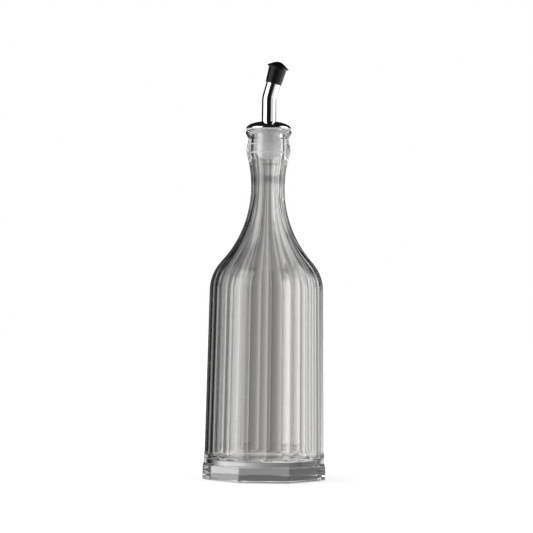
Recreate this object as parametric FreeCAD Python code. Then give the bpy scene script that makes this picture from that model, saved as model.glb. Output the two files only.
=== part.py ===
"""Clear sixteen-sided oil bottle on an eight-sided foot, with a bent metal pourer.

Units are millimetres. The frame has +Z up and its origin at the centre of the
foot's underside. One flat of the foot faces -Y, and the pourer bends to +X.
"""
import FreeCAD
import Part
import math
import os

V = FreeCAD.Vector
AXIS = V(0, 0, 1)
ORIGIN = V(0, 0, 0)

# ---- foot: a thick eight-sided slab ----
foot_sides = 8
foot_across_flats = 87.5
foot_height = 11.4
foot_top_round = 1.8
foot_bottom_round = 1.2
foot_corner_round = 1.2
rim_width = 10.75           # flat rim it stands on, round a shallow hollow
recess_depth = 0.9

# ---- sixteen-sided body ----
body_sides = 16
body_turn_deg = 2.2         # how far the body's ridges are turned from the foot's flats
collar_inset = 0.45         # round collar inside the foot's flats
collar_height = 3.7         # foot to the lowest point of the arch that ends each panel
panel_inset = 1.25          # panel inside the collar, low on the body
panel_runout_radius = 10.0  # the arch is swept with this radius
body_taper = 1.95           # how far a panel leans in over the straight of the body
shoulder_radius = 31.5
neck_sweep_radius = 80.0
neck_flat = 11.9            # centre to panel at the narrowest place
neck_below_lip = 41.8       # height of the narrowest place

# ---- neck finish: flare, bead, groove and lip ----
bottle_height = 250.4
flare_start_above_neck = 0.4
flare_stand_off = 0.16      # the round flare lies this far outside the panels' ridges
flare_top_inset = 0.12      # the flare meets the bead this far inside its edge
panel_end_below_bead = 5.5  # the panels run out this far below the bead
top_runout_radius = 15.0
bead_radius = 15.8
bead_below_lip = 14.8
bead_round = 3.6
groove_radius = 14.4
groove_below_lip = 6.5
lip_radius = 16.45
lip_shoulder_below_top = 2.4
lip_round = 1.3

# ---- cavity ----
wall = 3.9                  # from a panel to the round inside
floor_thickness = 13.4
floor_corner_round = 4.0
bore_radius = 9.25
bore_mouth_chamfer = 0.7
bore_depth = 23.0           # straight bore that grips the stopper
bore_taper_length = 9.0     # from the bore's end down to the narrower neck

# ---- stopper: ribbed plastic plug ----
rib_clearance = 0.05        # rib to bore, on the radius
rib_height = 0.3
stopper_depth = 17.4        # below the lip
stopper_collar_height = 2.0
stopper_flange_thickness = 0.8
stopper_flange_inset = 0.8  # flange edge inside the metal disc's edge
rib_count = 2               # below the collar
first_rib_drop = 9.4        # collar's underside to the underside of the first rib
rib_pitch = 4.85
rib_thickness = 1.2
rib_tip_thickness = 0.9
stopper_tip_chamfer = 0.9

# ---- metal disc, tube and cap ----
disc_radius = 16.3
disc_height = 5.6
disc_sheet = 0.8
tube_radius = 5.15
tube_sheet = 0.7
tube_depth_in_stopper = 12.0  # below the lip
bend_above_lip = 22.8         # where the two straight runs of the tube meet
bend_deg = 15.6
bend_radius = 14.0
pourer_turn_deg = -12.0       # the pourer's bend, turned about +Z from +X
cap_above_bend = 11.0         # cap's open end, along the upper run
cap_length = 12.7             # open end to brim
cap_mouth_wall = 0.65         # round the tube at the open end
cap_neck_wall = 1.35        # round the tube under the brim
cap_brim_reach = 3.0          # brim beyond the tube
cap_brim_thickness = 1.4
cap_brim_edge = 0.5
cap_crown_slope_deg = 31.5    # the crown is a low cone with a round tip
cap_crown_tip_radius = 7.0
cap_socket_depth = 9.5        # how far the tube stands inside the cap

# ---- worked out from the sizes above ----
panel_cos = math.cos(math.pi / body_sides)
big = 2.0 * foot_across_flats   # larger than anything here
collar_radius = foot_across_flats / 2.0 - collar_inset
body_low_flat = collar_radius - panel_inset
body_top_flat = body_low_flat - body_taper
panel_start_z = foot_height + collar_height
stopper_core_radius = bore_radius - rib_clearance - rib_height
cap_mouth_radius = tube_radius + cap_mouth_wall
cap_neck_radius = tube_radius + cap_neck_wall
cap_brim_radius = tube_radius + cap_brim_reach
runout_rise = math.sqrt(
    2.0 * panel_runout_radius * (collar_radius - body_low_flat)
    - (collar_radius - body_low_flat) ** 2
)
panel_straight_z = panel_start_z + runout_rise
neck_z = bottle_height - neck_below_lip

# The shoulder hangs down from the neck, and the straight of the body fills what is left.
# Its lean and the shoulder's turn depend on each other a little, so they are settled in turns.
sweep = shoulder_radius + neck_sweep_radius
draft = 0.0
for _ in range(20):
    shoulder_turn = math.acos(
        (shoulder_radius * math.cos(draft) + neck_sweep_radius - body_top_flat + neck_flat)
        / sweep
    )
    shoulder_start_z = (
        neck_z - sweep * math.sin(shoulder_turn) + shoulder_radius * math.sin(draft)
    )
    draft = math.atan2(body_taper, shoulder_start_z - panel_straight_z)


def revolve(edges):
    """Solid of revolution about Z from closed profile edges in the XZ plane."""
    face = Part.Face(Part.Wire(edges))
    return face.revolve(ORIGIN, AXIS, 360)


def line(a, b):
    return Part.makeLine(V(a[0], 0, a[1]), V(b[0], 0, b[1]))


def polyline(points):
    return [line(a, b) for a, b in zip(points, points[1:])]


def arc(a, middle, b):
    return Part.Arc(*(V(p[0], 0, p[1]) for p in (a, middle, b))).toShape()


def arc_about(centre, radius, start_deg, end_deg):
    """Arc in the XZ plane; angles are from +X towards +Z. Returns its edge and its two ends."""
    def at(angle):
        t = math.radians(angle)
        return (centre[0] + radius * math.cos(t), centre[1] + radius * math.sin(t))

    ends = at(start_deg), at(end_deg)
    return arc(ends[0], at((start_deg + end_deg) / 2.0), ends[1]), ends


def prism(sides, across_flats, z_low, z_high):
    """Upright prism on a regular polygon, with one flat facing -Y."""
    corner = across_flats / 2.0 / math.cos(math.pi / sides)
    points = []
    for k in range(sides + 1):
        t = math.radians(-90.0) + (k + 0.5) * 2.0 * math.pi / sides
        points.append(V(corner * math.cos(t), corner * math.sin(t), z_low))
    return Part.Face(Part.makePolygon(points)).extrude(V(0, 0, z_high - z_low))


# ---- shoulder and neck line, shared by the panels and the cavity ----
def shoulder_line(inset):
    """Edges from low on the body up to the neck, moved inwards by inset.

    A straight draft, a convex shoulder arc and a concave neck arc meet in tangents.
    Returns the edges, the lower end and the upper end.
    """
    low_deg, turn_deg = math.degrees(draft), math.degrees(shoulder_turn)
    centre_2 = (neck_flat + neck_sweep_radius, neck_z)
    centre_1 = (
        centre_2[0] - sweep * math.cos(shoulder_turn),
        neck_z - sweep * math.sin(shoulder_turn),
    )
    shoulder, (foot_end, _) = arc_about(
        centre_1, shoulder_radius - inset, low_deg, turn_deg
    )
    neck, (_, neck_end) = arc_about(
        centre_2, neck_sweep_radius + inset, 180.0 + turn_deg, 180.0
    )
    along = (foot_end[1] - panel_straight_z) / math.cos(draft)
    low_end = (foot_end[0] + along * math.sin(draft), panel_straight_z)
    return [line(low_end, foot_end), shoulder, neck], low_end, neck_end


panel_edges, panel_low, panel_neck = shoulder_line(0.0)
bead_z = bottle_height - bead_below_lip
groove_z = bottle_height - groove_below_lip
flare_start_z = neck_z + flare_start_above_neck
bead_low_z = bead_z - bead_round * 0.45
flare_low_radius = neck_flat / panel_cos + flare_stand_off
flare_rise = bead_low_z - flare_start_z
flare_out = bead_radius - flare_top_inset - flare_low_radius
flare_radius = (flare_rise ** 2 + flare_out ** 2) / (2.0 * flare_out)
flare_centre = (flare_low_radius + flare_radius, flare_start_z)


# ---- outside of the bottle ----
def flare_radius_at(z):
    """Radius of the round flare at a height."""
    return flare_centre[0] - math.sqrt(flare_radius ** 2 - (z - flare_start_z) ** 2)


def finish_edges():
    """Round profile of the flare, bead, groove and lip, from the neck up to the lip face."""
    bead_high_z = bead_z + bead_round * 0.25
    flare_top = (flare_radius_at(bead_low_z), bead_low_z)
    flare_mid_z = (flare_start_z + bead_low_z) / 2.0
    bead_out = (bead_radius, bead_z)
    bead_top = (bead_radius - bead_round * 0.03, bead_high_z)
    groove_low = (groove_radius + 0.12, groove_z - 0.9)
    groove_mid = (groove_radius, groove_z - 0.2)
    lip_low = (groove_radius + 0.25, groove_z + 0.45)
    lip_shoulder_z = bottle_height - lip_shoulder_below_top
    lip_out_low = (lip_radius, lip_shoulder_z)
    lip_out_high = (lip_radius, bottle_height - lip_round)
    corner = lip_round * (1.0 - math.cos(math.pi / 4.0))
    return [
        arc(
            (flare_low_radius, flare_start_z),
            (flare_radius_at(flare_mid_z), flare_mid_z),
            flare_top,
        ),
        arc(flare_top, bead_out, bead_top),
        line(bead_top, groove_low),
        arc(groove_low, groove_mid, lip_low),
        arc(lip_low, (lip_radius - 0.55, lip_shoulder_z - 1.5), lip_out_low),
        line(lip_out_low, lip_out_high),
        arc(
            lip_out_high,
            (lip_radius - corner, bottle_height - corner),
            (lip_radius - lip_round, bottle_height),
        ),
        line((lip_radius - lip_round, bottle_height), (0.0, bottle_height)),
    ]


def envelope():
    """Round blank: collar, a wide middle that the panels are cut from, and the neck finish."""
    middle = foot_across_flats
    step_z = panel_straight_z + 1.0
    low_z = foot_height - foot_top_round
    edges = polyline([
        (0.0, low_z),
        (collar_radius, low_z),
        (collar_radius, step_z),
        (middle, step_z),
        (middle, flare_start_z),
        (flare_low_radius, flare_start_z),
    ])
    edges += finish_edges()
    edges.append(line((0.0, bottle_height), (0.0, low_z)))
    return revolve(edges)


def panel_pair(turn_deg):
    """Slab between two opposite panels of the body, running out wide at both ends."""
    low_arc, (low_out, _) = arc_about(
        (panel_low[0] + panel_runout_radius, panel_straight_z),
        panel_runout_radius, 240.0, 180.0,
    )
    # in the neck the panel keeps its distance inside the round flare, then runs out
    inset = flare_low_radius - neck_flat
    top_z = bead_z - panel_end_below_bead - math.sqrt(2.0 * top_runout_radius * inset)
    lift = math.degrees(math.asin((top_z - flare_start_z) / (flare_radius + inset)))
    neck_arc, (_, neck_out) = arc_about(
        flare_centre, flare_radius + inset, 180.0, 180.0 - lift
    )
    runout_centre = (
        neck_out[0] + top_runout_radius * math.cos(math.radians(lift)),
        neck_out[1] - top_runout_radius * math.sin(math.radians(lift)),
    )
    top_arc, (_, top_out) = arc_about(
        runout_centre, top_runout_radius, 180.0 - lift, 90.0 + lift
    )
    half = [line((big, low_out[1]), low_out), low_arc]
    half += panel_edges
    half += [line(panel_neck, (neck_flat, flare_start_z)), neck_arc, top_arc]
    half += polyline([top_out, (big, top_out[1]), (big, bottle_height + 1.0)])
    half += polyline([(big, bottle_height + 1.0), (0.0, bottle_height + 1.0)])
    half += polyline([(0.0, bottle_height + 1.0), (0.0, 0.0), (big, 0.0)])
    half.append(line((big, 0.0), (big, low_out[1])))
    face = Part.Face(Part.Wire(Part.__sortEdges__(half)))
    face.translate(V(0, -big, 0))
    one_side = face.extrude(V(0, 2.0 * big, 0))
    other_side = one_side.copy()
    other_side.rotate(ORIGIN, AXIS, 180)
    slab = one_side.fuse(other_side).removeSplitter()
    slab.rotate(ORIGIN, AXIS, turn_deg)
    return slab


def foot():
    """Eight-sided slab with rounded corners and edges."""
    slab = prism(foot_sides, foot_across_flats, 0.0, foot_height)
    upright = [e for e in slab.Edges if abs(e.tangentAt(e.FirstParameter).z) > 0.9]
    slab = slab.makeFillet(foot_corner_round, upright)
    for z, radius in ((foot_height, foot_top_round), (0.0, foot_bottom_round)):
        rim = [e for e in slab.Edges if all(abs(v.Z - z) < 1e-6 for v in e.Vertexes)]
        slab = slab.makeFillet(radius, rim)
    recess = Part.makeCylinder(foot_across_flats / 2.0 - rim_width, recess_depth)
    rim = [e for e in recess.Edges if abs(e.BoundBox.ZMin - recess_depth) < 1e-6]
    return slab.cut(recess.makeFillet(recess_depth * 0.9, rim))


def cavity():
    """Round inside: floor with a rounded corner, body, shoulder, neck and straight bore."""
    side, low_end, neck_end = shoulder_line(wall)
    corner_z = floor_thickness + floor_corner_round
    corner_r = low_end[0] + (panel_straight_z - corner_z) * math.tan(draft)
    drop = floor_corner_round * (1.0 - math.cos(math.pi / 4.0))
    bore_low_z = bottle_height - bore_depth
    taper_low_z = bore_low_z - bore_taper_length
    mouth_r = bore_radius + bore_mouth_chamfer
    edges = [
        line((0.0, floor_thickness), (corner_r - floor_corner_round, floor_thickness)),
        arc(
            (corner_r - floor_corner_round, floor_thickness),
            (corner_r - drop, floor_thickness + drop),
            (corner_r, corner_z),
        ),
        line((corner_r, corner_z), low_end),
    ]
    edges += side
    edges += polyline([
        neck_end,
        (neck_end[0], taper_low_z),
        (bore_radius, bore_low_z),
        (bore_radius, bottle_height - bore_mouth_chamfer),
        (mouth_r, bottle_height),
        (mouth_r, bottle_height + 1.0),
        (0.0, bottle_height + 1.0),
        (0.0, floor_thickness),
    ])
    return revolve(edges)


def bottle():
    body = envelope()
    for k in range(body_sides // 2):
        body = body.common(panel_pair(body_turn_deg + (k + 0.5) * 360.0 / body_sides))
    return body.fuse(foot()).removeSplitter().cut(cavity())


# ---- pourer ----
def dome(radius, height, base_z):
    """Half of a flattened ball on a flat base."""
    ellipse = Part.Ellipse(V(0, 0, base_z), radius, height)
    ellipse.Axis = V(0, -1, 0)
    quarter = Part.ArcOfEllipse(ellipse, 0.0, math.pi / 2.0).toShape()
    return revolve([
        line((0.0, base_z), (radius, base_z)),
        quarter,
        line((0.0, base_z + height), (0.0, base_z)),
    ])


disc_z = bottle_height + stopper_flange_thickness
tube_end_z = bottle_height - tube_depth_in_stopper
bend_z = bottle_height + bend_above_lip
upper_run = V(math.sin(math.radians(bend_deg)), 0, math.cos(math.radians(bend_deg)))
bend_point = V(0, 0, bend_z)
cap_base = bend_point + upper_run * cap_above_bend
tube_top = cap_above_bend + cap_socket_depth


def stopper():
    """Ribbed plug with a collar and a head that fills the metal disc, bored for the tube."""
    tip_z = bottle_height - stopper_depth
    collar_z = bottle_height - stopper_collar_height
    rib_radius = bore_radius - rib_clearance
    flange_radius = disc_radius - stopper_flange_inset
    plug = revolve(polyline([
        (0.0, tip_z),
        (stopper_core_radius - stopper_tip_chamfer, tip_z),
        (stopper_core_radius, tip_z + stopper_tip_chamfer),
        (stopper_core_radius, collar_z),
        (rib_radius, collar_z),
        (rib_radius, bottle_height),
        (flange_radius, bottle_height),
        (flange_radius, disc_z),
        (0.0, disc_z),
        (0.0, tip_z),
    ]))
    slope = (rib_thickness - rib_tip_thickness) / 2.0
    inner = stopper_core_radius - 0.5
    for k in range(1, rib_count + 1):
        low_z = collar_z - first_rib_drop - (k - 1) * rib_pitch
        plug = plug.fuse(revolve(polyline([
            (inner, low_z),
            (stopper_core_radius, low_z),
            (rib_radius, low_z + slope),
            (rib_radius, low_z + slope + rib_tip_thickness),
            (stopper_core_radius, low_z + rib_thickness),
            (inner, low_z + rib_thickness),
            (inner, low_z),
        ])))
    plug = plug.fuse(dome(disc_radius - disc_sheet, disc_height - disc_sheet, disc_z))
    seat = Part.makeCylinder(tube_radius, big, V(0, 0, tube_end_z))
    passage = Part.makeCylinder(tube_radius - tube_sheet, big, V(0, 0, tip_z - 1.0))
    return plug.cut(seat).cut(passage).removeSplitter()


def disc():
    """Pressed metal dome over the stopper's head, pierced for the tube."""
    shell = dome(disc_radius, disc_height, disc_z)
    shell = shell.cut(dome(disc_radius - disc_sheet, disc_height - disc_sheet, disc_z))
    return shell.cut(Part.makeCylinder(tube_radius, big, V(0, 0, disc_z - 1.0)))


def bent_rod(radius):
    """Round rod along the tube's line: straight up, a bend, and the sloping upper run."""
    reach = bend_radius * math.tan(math.radians(bend_deg) / 2.0)
    start = V(0, 0, tube_end_z)
    bend_in = V(0, 0, bend_z - reach)
    bend_out = bend_point + upper_run * reach
    half = math.radians(bend_deg) / 2.0
    middle = V(bend_radius * (1.0 - math.cos(half)), 0, bend_in.z + bend_radius * math.sin(half))
    path = Part.Wire([
        Part.makeLine(start, bend_in),
        Part.Arc(bend_in, middle, bend_out).toShape(),
        Part.makeLine(bend_out, bend_point + upper_run * tube_top),
    ])
    section = Part.Wire(Part.makeCircle(radius, start, AXIS))
    return path.makePipeShell([section], True, True)


def tube():
    return bent_rod(tube_radius).cut(bent_rod(tube_radius - tube_sheet))


def cap():
    """Tapered cap with a brim and a low cone on top, hollow where the tube stands in it."""
    slope = math.radians(cap_crown_slope_deg)
    brim_edge = (cap_brim_radius, cap_length - cap_brim_edge)
    crown_foot = (cap_brim_radius - cap_brim_edge, cap_length)
    tip_low_r = cap_crown_tip_radius * math.sin(slope)
    tip_low_z = cap_length + (crown_foot[0] - tip_low_r) * math.tan(slope)
    tip_centre = (0.0, tip_low_z - cap_crown_tip_radius * math.cos(slope))
    tip_edge, (tip_foot, tip_top) = arc_about(
        tip_centre, cap_crown_tip_radius, 90.0 - cap_crown_slope_deg, 90.0
    )
    tip_top = (0.0, tip_top[1])
    outside = revolve(polyline([
        tip_top,
        (0.0, 0.0),
        (cap_mouth_radius, 0.0),
        (cap_neck_radius, cap_length - cap_brim_thickness),
        brim_edge,
        crown_foot,
        tip_foot,
    ]) + [tip_edge])
    shape = outside.cut(Part.makeCylinder(tube_radius, cap_socket_depth))
    shape.rotate(ORIGIN, V(0, 1, 0), bend_deg)
    shape.translate(cap_base)
    return shape


def turned(shape):
    """The pourer's pieces are made with their bend to +X and turned together."""
    shape.rotate(ORIGIN, AXIS, pourer_turn_deg)
    return shape


nodes = {
    "bottle": bottle(),
    "stopper": turned(stopper()),
    "spout_disc": turned(disc()),
    "spout_tube": turned(tube()),
    "spout_cap": turned(cap()),
}
os.makedirs("parts", exist_ok=True)
for name, shape in nodes.items():
    shape.exportStep(f"parts/{name}.step")
    box = shape.optimalBoundingBox(True, False)
    print(
        f"{name}: {len(shape.Solids)} solid, valid {shape.isValid()}, "
        f"volume {shape.Volume / 1000.0:.2f} cm3, z {box.ZMin:.2f} to {box.ZMax:.2f}, "
        f"x {box.XMin:.2f} to {box.XMax:.2f}"
    )
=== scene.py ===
"""Clear faceted oil bottle with a ribbed stopper, a domed metal disc, a bent pouring tube and a cap.

Laid out as a Blender add-on: the sizes and colours are properties, and each group of pieces
has its own operator. Run as a script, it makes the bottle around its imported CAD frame.
"""

import math

import bpy
import numpy as np
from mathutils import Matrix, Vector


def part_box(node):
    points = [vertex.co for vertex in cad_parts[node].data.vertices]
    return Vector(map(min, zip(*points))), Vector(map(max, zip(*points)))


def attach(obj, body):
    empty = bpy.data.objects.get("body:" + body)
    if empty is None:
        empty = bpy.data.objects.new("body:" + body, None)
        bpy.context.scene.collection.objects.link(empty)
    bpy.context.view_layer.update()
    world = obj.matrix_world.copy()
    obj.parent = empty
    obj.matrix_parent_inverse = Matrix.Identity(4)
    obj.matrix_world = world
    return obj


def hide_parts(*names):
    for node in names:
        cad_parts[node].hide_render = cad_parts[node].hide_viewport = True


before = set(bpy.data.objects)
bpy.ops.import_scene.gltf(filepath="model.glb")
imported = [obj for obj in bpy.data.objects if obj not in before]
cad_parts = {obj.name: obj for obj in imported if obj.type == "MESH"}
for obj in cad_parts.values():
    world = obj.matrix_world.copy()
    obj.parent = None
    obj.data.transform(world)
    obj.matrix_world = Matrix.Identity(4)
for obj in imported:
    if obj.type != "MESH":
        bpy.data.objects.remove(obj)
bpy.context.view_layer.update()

bl_info = {
    "name": "Faceted oil bottle",
    "version": (1, 0, 0),
    "blender": (4, 5, 0),
    "location": "3D View > Sidebar > Oil bottle",
    "description": "Clear faceted oil bottle with a pourer",
    "category": "Add Mesh",
}

MM = 0.001
bottle_low, bottle_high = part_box("bottle")
disc_low, disc_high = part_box("spout_disc")
tube_low, tube_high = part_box("spout_tube")


# ---- colours ----
def linear(code):
    """sRGB hex colour to linear red, green and blue."""
    srgb = np.array([int(code[k:k + 2], 16) for k in (1, 3, 5)]) / 255.0
    low, high = srgb / 12.92, ((srgb + 0.055) / 1.055) ** 2.4
    return tuple(float(c) for c in np.where(srgb <= 0.04045, low, high))


# ---- property makers ----
def size(name, text, mm):
    """Length, given in millimetres and kept in metres."""
    return bpy.props.FloatProperty(
        name=name, description=text, default=mm * MM, unit="LENGTH", precision=5
    )


def angle(name, text, degrees):
    """Angle, given in degrees and kept in radians."""
    return bpy.props.FloatProperty(
        name=name, description=text, default=math.radians(degrees), subtype="ANGLE"
    )


def colour(name, text, code):
    """Colour, given as sRGB hex and kept linear."""
    return bpy.props.FloatVectorProperty(
        name=name, description=text, default=linear(code), subtype="COLOR", size=3, min=0.0, max=1.0
    )


def factor(name, text, value, high=1.0):
    """Plain number from 0 to `high`."""
    return bpy.props.FloatProperty(
        name=name, description=text, default=value, min=0.0, max=high, subtype="FACTOR"
    )


class BottleSizes(bpy.types.PropertyGroup):
    """Sizes of the clear bottle."""

    height: size("Height", "Foot to lip", bottle_high.z / MM)
    foot_across: size("Foot across flats", "Between opposite flats", (bottle_high.x - bottle_low.x) / MM)
    foot_height: size("Foot height", "Thickness of the eight-sided slab", 11.4)
    foot_top_round: size("Foot top round", "Rounding of the slab's upper edge", 1.8)
    foot_bottom_round: size("Foot bottom round", "Rounding of the slab's lower edge", 1.2)
    foot_corner_round: size("Foot corner round", "Rounding of the slab's upright corners", 1.2)
    rim_width: size("Rim width", "Flat rim round the hollow under the foot", 10.75)
    recess_depth: size("Recess depth", "Hollow under the foot", 0.9)
    turn: angle("Body turn", "Body ridges turned from the foot's flats", 2.2)
    collar_inset: size("Collar inset", "Round collar inside the foot's flats", 0.45)
    collar_height: size("Collar height", "Foot to the lowest point of the panels", 3.7)
    panel_inset: size("Panel inset", "Panel inside the collar", 1.25)
    panel_runout: size("Panel run-out radius", "Radius that ends each panel low down", 10.0)
    body_taper: size("Body taper", "How far a panel leans in over the body", 1.95)
    ridge_share: factor("Ridge rounding", "Ridge radius as a share of the panel's distance", 0.035)
    shoulder_radius: size("Shoulder radius", "Convex shoulder arc", 31.5)
    sweep_radius: size("Neck sweep radius", "Concave arc up to the neck", 80.0)
    neck_flat: size("Neck flat", "Centre to panel at the narrowest place", 11.9)
    neck_below_lip: size("Neck below lip", "Height of the narrowest place", 41.8)
    flare_start: size("Flare start", "Above the narrowest place", 0.4)
    flare_stand_off: size("Flare stand-off", "Round flare outside the ridges", 0.16)
    flare_top_inset: size("Flare top inset", "Flare meets the bead this far inside its edge", 0.12)
    panel_end: size("Panel end", "Panels run out this far below the bead", 5.5)
    top_runout: size("Top run-out radius", "Radius that ends each panel at the neck", 15.0)
    bead_radius: size("Bead radius", "Widest place of the bead", 15.8)
    bead_below_lip: size("Bead below lip", "Height of the bead", 14.8)
    bead_round: size("Bead round", "Size of the bead's rounding", 3.6)
    groove_radius: size("Groove radius", "Groove between bead and lip", 14.4)
    groove_below_lip: size("Groove below lip", "Height of the groove", 6.5)
    lip_radius: size("Lip radius", "Outside of the lip ring", 16.45)
    lip_shoulder: size("Lip shoulder", "Lip ring's lower edge below the lip", 2.4)
    lip_round: size("Lip round", "Rounding of the lip's outer edge", 1.3)
    wall: size("Wall", "From a panel to the round inside", 3.9)
    floor: size("Floor thickness", "Inner floor above the table", 13.4)
    floor_round: size("Floor round", "Rounding of the inner floor's corner", 4.0)
    bore: size("Bore radius", "Straight bore in the neck", 9.25)
    mouth_chamfer: size("Mouth chamfer", "Bevel at the bore's mouth", 0.7)
    bore_depth: size("Bore depth", "Length of the straight bore", 23.0)
    bore_taper: size("Bore taper", "From the bore down to the narrower neck", 9.0)


class PourerSizes(bpy.types.PropertyGroup):
    """Sizes of the stopper, disc, tube and cap."""

    rib_clearance: size("Rib clearance", "Rib to bore, on the radius", 0.05)
    rib_height: size("Rib height", "Rib above the core", 0.3)
    stopper_depth: size("Stopper depth", "Plug below the lip", 17.4)
    plug_collar: size("Plug collar", "Height of the plain collar at the mouth", 2.0)
    flange: size("Flange thickness", "Flange on the lip", 0.8)
    flange_inset: size("Flange inset", "Flange edge inside the disc's edge", 0.8)
    first_rib_drop: size("First rib drop", "Collar's underside to the first rib", 9.4)
    rib_pitch: size("Rib pitch", "Rib to rib", 4.85)
    rib_thickness: size("Rib thickness", "Foot of a rib", 1.2)
    rib_tip: size("Rib tip", "Edge of a rib", 0.9)
    disc_radius: size("Disc radius", "Edge of the metal disc", 16.3)
    disc_height: size("Disc height", "Rise of the domed disc before it is pierced", 5.6)
    disc_sheet: size("Disc sheet", "Thickness of the disc's metal", 0.8)
    tube_radius: size("Tube radius", "Outside of the pouring tube", 5.15)
    tube_sheet: size("Tube sheet", "Thickness of the tube's metal", 0.7)
    tube_depth: size("Tube depth", "Tube's lower end below the lip", 12.0)
    bend_above_lip: size("Bend height", "Where the tube's two straight runs meet", 22.8)
    bend: angle("Bend", "Angle of the tube's bend", 15.6)
    bend_radius: size("Bend radius", "Radius of the tube's bend", 14.0)
    turn: angle("Pourer turn", "Bend turned about the bottle's axis", -12.0)
    cap_above_bend: size("Cap height", "Cap's open end along the upper run", 11.0)
    cap_length: size("Cap length", "Open end to brim", 12.7)
    cap_mouth_wall: size("Cap mouth wall", "Round the tube at the open end", 0.65)
    cap_neck_wall: size("Cap neck wall", "Round the tube under the brim", 1.35)
    cap_brim_reach: size("Cap brim reach", "Brim beyond the tube", 3.0)
    cap_brim: size("Cap brim thickness", "Height of the brim", 1.4)
    cap_brim_edge: size("Cap brim edge", "Bevel on the brim's edge", 0.5)
    cap_crown_slope: angle("Cap crown slope", "Slope of the low cone on top", 31.5)
    cap_crown_tip: size("Cap crown tip radius", "Rounding of the cone's tip", 7.0)
    cap_socket: size("Cap socket depth", "How far the tube stands in the cap", 9.5)


class FinishColours(bpy.types.PropertyGroup):
    """Colours of the finishes and of the studio."""

    acrylic: colour("Acrylic", "Clear moulded acrylic", "#FAF9F8")
    polyethylene: colour("Polyethylene", "Natural translucent stopper plastic", "#E8E9EA")
    steel: colour("Steel", "Polished stainless steel", "#DADADC")
    cap: colour("Cap", "Black cap", "#080808")
    floor: colour("Floor", "Pale studio floor", "#F4F4F4")


# ---- shape functions ----
def polygon(theta, sides, turn, share):
    """Distance to a rounded polygon with unit inradius, seen from its centre.

    A flat lies at 1 / cos(angle from the flat's normal). Each corner is an arc of radius
    share, centred (1 - share) / cos(pi / sides) out, where a ray at angle a from the
    corner meets it at c cos(a) + sqrt(share^2 - c^2 sin^2(a)).
    """
    step = 2.0 * math.pi / sides
    off_normal = np.mod(theta - turn, step) - step / 2.0
    flat = 1.0 / np.cos(off_normal)
    centre = (1.0 - share) / math.cos(step / 2.0)
    off_corner = step / 2.0 - np.abs(off_normal)
    under = np.maximum(share ** 2 - (centre * np.sin(off_corner)) ** 2, 0.0)
    arc = centre * np.cos(off_corner) + np.sqrt(under)
    edge = step / 2.0 - math.atan((1.0 - share) * math.tan(step / 2.0))
    return np.where(off_corner < edge, arc, flat)


def lean(p):
    """Lean of the body, turn of the shoulder and height where it starts, settled in turns."""
    collar = p.foot_across / 2.0 - p.collar_inset
    low = collar - p.panel_inset
    top = low - p.body_taper
    rise = math.sqrt(2.0 * p.panel_runout * p.panel_inset - p.panel_inset ** 2)
    straight_z = p.foot_height + p.collar_height + rise
    neck_z = p.height - p.neck_below_lip
    sweep = p.shoulder_radius + p.sweep_radius
    draft = 0.0
    for _ in range(20):
        turn = math.acos(
            (p.shoulder_radius * math.cos(draft) + p.sweep_radius - top + p.neck_flat) / sweep
        )
        start_z = neck_z - sweep * math.sin(turn) + p.shoulder_radius * math.sin(draft)
        draft = math.atan2(p.body_taper, start_z - straight_z)
    return collar, low, straight_z, start_z, neck_z, draft, turn


def flare_line(p):
    """Centre and radius of the round flare, and the heights where it starts and meets the bead."""
    neck_z = p.height - p.neck_below_lip
    start_z = neck_z + p.flare_start
    bead_low_z = p.height - p.bead_below_lip - p.bead_round * 0.45
    low_r = p.neck_flat / math.cos(math.pi / 16.0) + p.flare_stand_off
    rise, out = bead_low_z - start_z, p.bead_radius - p.flare_top_inset - low_r
    radius = (rise ** 2 + out ** 2) / (2.0 * out)
    return low_r + radius, start_z, radius, bead_low_z


def panel_distance(p, z, inset=0.0):
    """Distance from the axis to a panel at height z, moved inwards by inset.

    From below: the low run-out arc, the leaning straight, the convex shoulder arc, the
    concave sweep and a short straight neck.
    """
    _, low, straight_z, _, neck_z, draft, turn = lean(p)
    c2 = (p.neck_flat + p.sweep_radius, neck_z)
    sweep = p.shoulder_radius + p.sweep_radius
    c1 = (c2[0] - sweep * math.cos(turn), neck_z - sweep * math.sin(turn))
    r1, r2 = p.shoulder_radius - inset, p.sweep_radius + inset
    turn_z = c1[1] + r1 * math.sin(turn)
    under = np.clip(straight_z - z, 0.0, p.panel_runout)
    runout = low + p.panel_runout - np.sqrt(p.panel_runout ** 2 - under ** 2) - inset
    foot_z = c1[1] + r1 * math.sin(draft)
    foot_d = c1[0] + r1 * math.cos(draft)
    straight = foot_d + (foot_z - z) * math.tan(draft)
    shoulder = c1[0] + np.sqrt(np.maximum(r1 ** 2 - (z - c1[1]) ** 2, 0.0))
    concave = c2[0] - np.sqrt(np.maximum(r2 ** 2 - (z - c2[1]) ** 2, 0.0))
    neck = np.full_like(z, p.neck_flat - inset)
    return np.select(
        [z < straight_z, z < foot_z, z < turn_z, z < neck_z],
        [runout, straight, shoulder, concave],
        neck,
    )


def upper_panel(p, z):
    """Distance to a panel above the narrowest place: beside the flare, then running out."""
    centre_r, start_z, radius, _ = flare_line(p)
    inset = (centre_r - radius) - p.neck_flat
    wide = radius + inset
    bead_z = p.height - p.bead_below_lip
    top_z = bead_z - p.panel_end - math.sqrt(2.0 * p.top_runout * inset)
    lift = math.asin((top_z - start_z) / wide)
    along = centre_r - np.sqrt(wide ** 2 - np.clip(z - start_z, 0.0, None) ** 2)
    out_r = centre_r - wide * math.cos(lift) + p.top_runout * math.cos(lift)
    out_z = top_z - p.top_runout * math.sin(lift)
    above = np.clip(z - out_z, 0.0, p.top_runout)
    runout = out_r - np.sqrt(p.top_runout ** 2 - above ** 2)
    return np.where(z < top_z, along, runout)


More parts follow.
